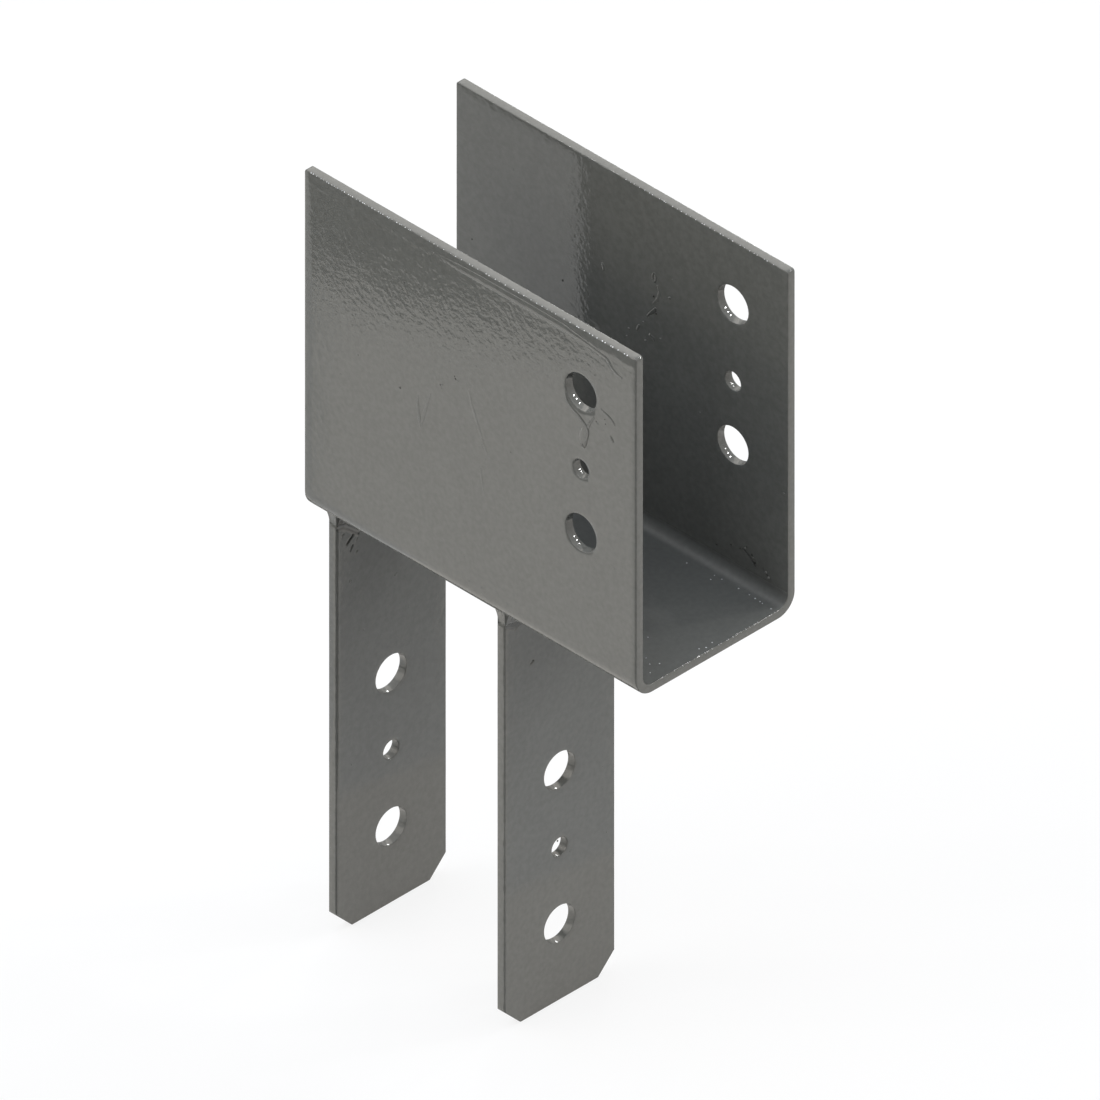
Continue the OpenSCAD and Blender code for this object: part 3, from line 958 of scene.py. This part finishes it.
def make_world(strength):
    """White to the camera and even light; reflections see pale walls, dim ones behind and a dark front."""
    world = bpy.data.worlds.new("studio")
    bpy.context.scene.world = world
    world.use_nodes = True
    tree = world.node_tree
    even = tree.nodes["Background"]
    even.inputs["Color"].default_value = (1, 0.968, 0.95, 1)
    even.inputs["Strength"].default_value = strength
    walls = node(tree, "ShaderNodeBackground")
    walls.inputs["Color"].default_value = (1, 0.96, 0.905, 1)
    split = node(tree, "ShaderNodeSeparateXYZ")
    tree.links.new(node(tree, "ShaderNodeTexCoord").outputs["Generated"], split.inputs[0])
    turn = math_node(tree, "ARCTAN2", split.outputs["Y"], split.outputs["X"])

    def sector(middle, inner, outer, low, high):
        """Low within inner degrees of the middle, high beyond outer degrees."""
        off = math_node(tree, "ABSOLUTE", math_node(tree, "SUBTRACT", turn, math.radians(middle)))
        ramp = node(tree, "ShaderNodeMapRange", interpolation_type="SMOOTHSTEP")
        tree.links.new(off, ramp.inputs["Value"])
        for socket, value in zip(("From Min", "From Max", "To Min", "To Max"),
                                 (math.radians(inner), math.radians(outer), low, high)):
            ramp.inputs[socket].default_value = value
        return ramp.outputs["Result"]

    wall = math_node(tree, "MULTIPLY", sector(-52, 56, 74, 0.10, 1.0), sector(118, 48, 64, 0.30, 1.0))
    ceiling = node(tree, "ShaderNodeMapRange", interpolation_type="SMOOTHSTEP")
    ceiling.inputs["From Min"].default_value = -0.05
    ceiling.inputs["From Max"].default_value = 0.25
    tree.links.new(split.outputs["Z"], ceiling.inputs["Value"])
    level = node(tree, "ShaderNodeMix", data_type="FLOAT")
    tree.links.new(ceiling.outputs["Result"], level.inputs["Factor"])
    tree.links.new(wall, level.inputs["A"])
    level.inputs["B"].default_value = 0.95
    tree.links.new(level.outputs["Result"], walls.inputs["Strength"])
    light = node(tree, "ShaderNodeLightPath").outputs
    mirrored = mix_shaders(tree, mirrored_ray(tree, light), even.outputs[0], walls.outputs[0])
    white = node(tree, "ShaderNodeBackground")
    white.inputs["Color"].default_value = (1, 1, 1, 1)
    seen = mix_shaders(tree, light["Is Camera Ray"], mirrored, white.outputs[0])
    tree.links.new(seen, tree.nodes["World Output"].inputs["Surface"])


def card(name, points, glow):
    """Card seen only in reflections, as a studio flag is. glow is its brightness at each point."""
    mesh = bpy.data.meshes.new(name)
    mesh.from_pydata([tuple(k * MM for k in p) for p in points], [], [tuple(range(len(points)))])
    mark_points(mesh, "glow", glow)
    made = add_object(name, mesh)
    material, tree = new_material(name + "_card")
    tree.nodes.clear()
    shine = node(tree, "ShaderNodeEmission")
    tree.links.new(attribute(tree, "glow"), shine.inputs["Strength"])
    tree.links.new(shine.outputs[0], node(tree, "ShaderNodeOutputMaterial").inputs["Surface"])
    mesh.materials.append(material)
    made.visible_camera = made.visible_diffuse = made.visible_shadow = made.visible_transmission = False


def make_cards():
    """A dark flag low on the front left, a narrow one past the flush end, and grey cards behind."""
    low = TIP_Z / MM - 1
    flag = [(-900, -386), (-385, -386), (-345, -391), (-330, -401), (-316, -409), (-298, -415), (-284, -423),
            (-266, -432), (-225, -470), (140, -640), (140, -1400), (-900, -1400)]
    card("flag", [(x, y, low) for x, y in flag], [0] * len(flag))
    top, plane, wide, edge = TOP_Z / MM, (PLATE_T / 2 - HALF_W) / MM, 13, FLUSH_X / MM
    corners = [(edge - wide, 0), (edge, 0), (edge, top), (edge - wide, top)]
    card("side_flag", [(x, plane, z) for x, z in corners], [0] * 4)
    behind = [(-385, -384), (-150, -149), (-150, 20), (-600, -300), (-600, -384)]
    card("behind", [(x, y, low) for x, y in behind], [0.6, 0.78, 0.78, 0.5, 0.5])
    # What the straps' wide faces mirror, which darkens them toward the seat
    outline = ((-34, 70), (34, 60), (34, 190), (34, 218), (-34, 218), (-34, 190))
    for name, x, dim in (("end_shade", STRAP_HIGH.x / MM, 0.30), ("inner_shade", INNER_HIGH.x / MM, 0.5)):
        points = [(x + out, y + out, low) for y, out in outline]
        card(name, points, [0.88, 0.88, dim, dim, dim + 0.2, dim + 0.2])


def make_camera():
    """Level isometric view: azimuth 45 degrees from the front, 35.26 degrees down."""
    target = Vector((20.0, 24.8, -19.8)) * MM
    azimuth, elevation, away = math.radians(45), math.atan(1 / math.sqrt(2)), 3.0
    toward = Vector((math.sin(azimuth) * math.cos(elevation),
                     -math.cos(azimuth) * math.cos(elevation),
                     math.sin(elevation)))
    data = bpy.data.cameras.new("camera")
    data.type = "ORTHO"
    data.ortho_scale = 446.2 * MM
    camera = add_object("camera", data)
    camera.location = target + toward * away
    camera.rotation_euler = toward.to_track_quat("Z", "Y").to_euler()
    bpy.context.scene.camera = camera


bpy.context.scene.view_settings.view_transform = "Standard"
make_camera()
make_floor()
make_cards()
# Broad lamps for the light, and small ones that add glints along the edges
warm, cool, sky = (1, 0.938, 0.862), (0.90, 0.94, 1), (0.70, 0.82, 1)
area_lamp("key", (-1.15, -1.32, 0.97), (1.2, 1.2), 4.6, warm)
area_lamp("front", (-0.3, -1.62, 1.18), (1.2, 1.2), 9.0, warm)
area_lamp("window", (-1.2, 1.3, 1.3), (1.3, 0.9), 3.8, warm)
area_lamp("fill", (1.6, 0.2, 1.2), (1.0, 1.0), 3.6, cool)
area_lamp("glint_front", (-1.15, -1.32, 0.97), (0.12, 0.12), 3, warm)
area_lamp("glint_edge", (-1.04, 1.50, 0.83), (0.17, 0.3), 2.5, (1, 1, 1))
area_lamp("glint_left", (0.06, 1.154, 1.64), (0.12, 0.12), 3, (1, 1, 1))
area_lamp("glint_middle", (0.70, 1.154, 1.44), (0.12, 0.12), 4, (1, 1, 1))
area_lamp("glint_right", (1.24, 1.154, 1.06), (0.12, 0.12), 3, (1, 1, 1))
area_lamp("daylight", (0.46, 1.154, 1.56), (0.5, 0.5), 6, cool).visible_glossy = False
area_lamp("ceiling", (-0.5, -0.45, 1.85), (2.2, 2.2), 29, sky).visible_glossy = False
make_world(0.45)

plate_paint = paint("painted_plate", (0.114, 0.116, 0.107), 0.06, 0.055 * MM)
weld_paint = paint("painted_weld", (0.110, 0.112, 0.103), 0.09, 0.060 * MM)

dress(make_bucket(), plate_paint, ["bucket"])
# How far each strap's weld runs down its edge, and how deep it has melted the edge, in mm
end_melt, inner_melt = (13.4, 0.5), (14.6, 0.65)
end_strap = make_strap(STRAP_LOW, STRAP_HIGH, "painted_end_strap", *end_melt, 0.34, END_CUTS, END_DOTS, 3)
inner_strap = make_strap(INNER_LOW, INNER_HIGH, "painted_inner_strap", *inner_melt, 0.06, INNER_CUTS, [], 4)
dress(end_strap, plate_paint, ["end_strap"])
dress(inner_strap, plate_paint, ["inner_strap"])
for side, word in ((-1, "front"), (1, "back")):
    bead = strap_bead(f"end_weld_{word}", STRAP_LOW, STRAP_HIGH, side, False, *end_melt)
    dress(bead, weld_paint, ["end_strap_weld"])
    bead = strap_bead(f"inner_weld_{word}", INNER_LOW, INNER_HIGH, side, True, *inner_melt)
    dress(bead, weld_paint, ["inner_strap_weld"])
dress(seam_mesh("end_weld_seam"), weld_paint, ["end_strap_weld"])
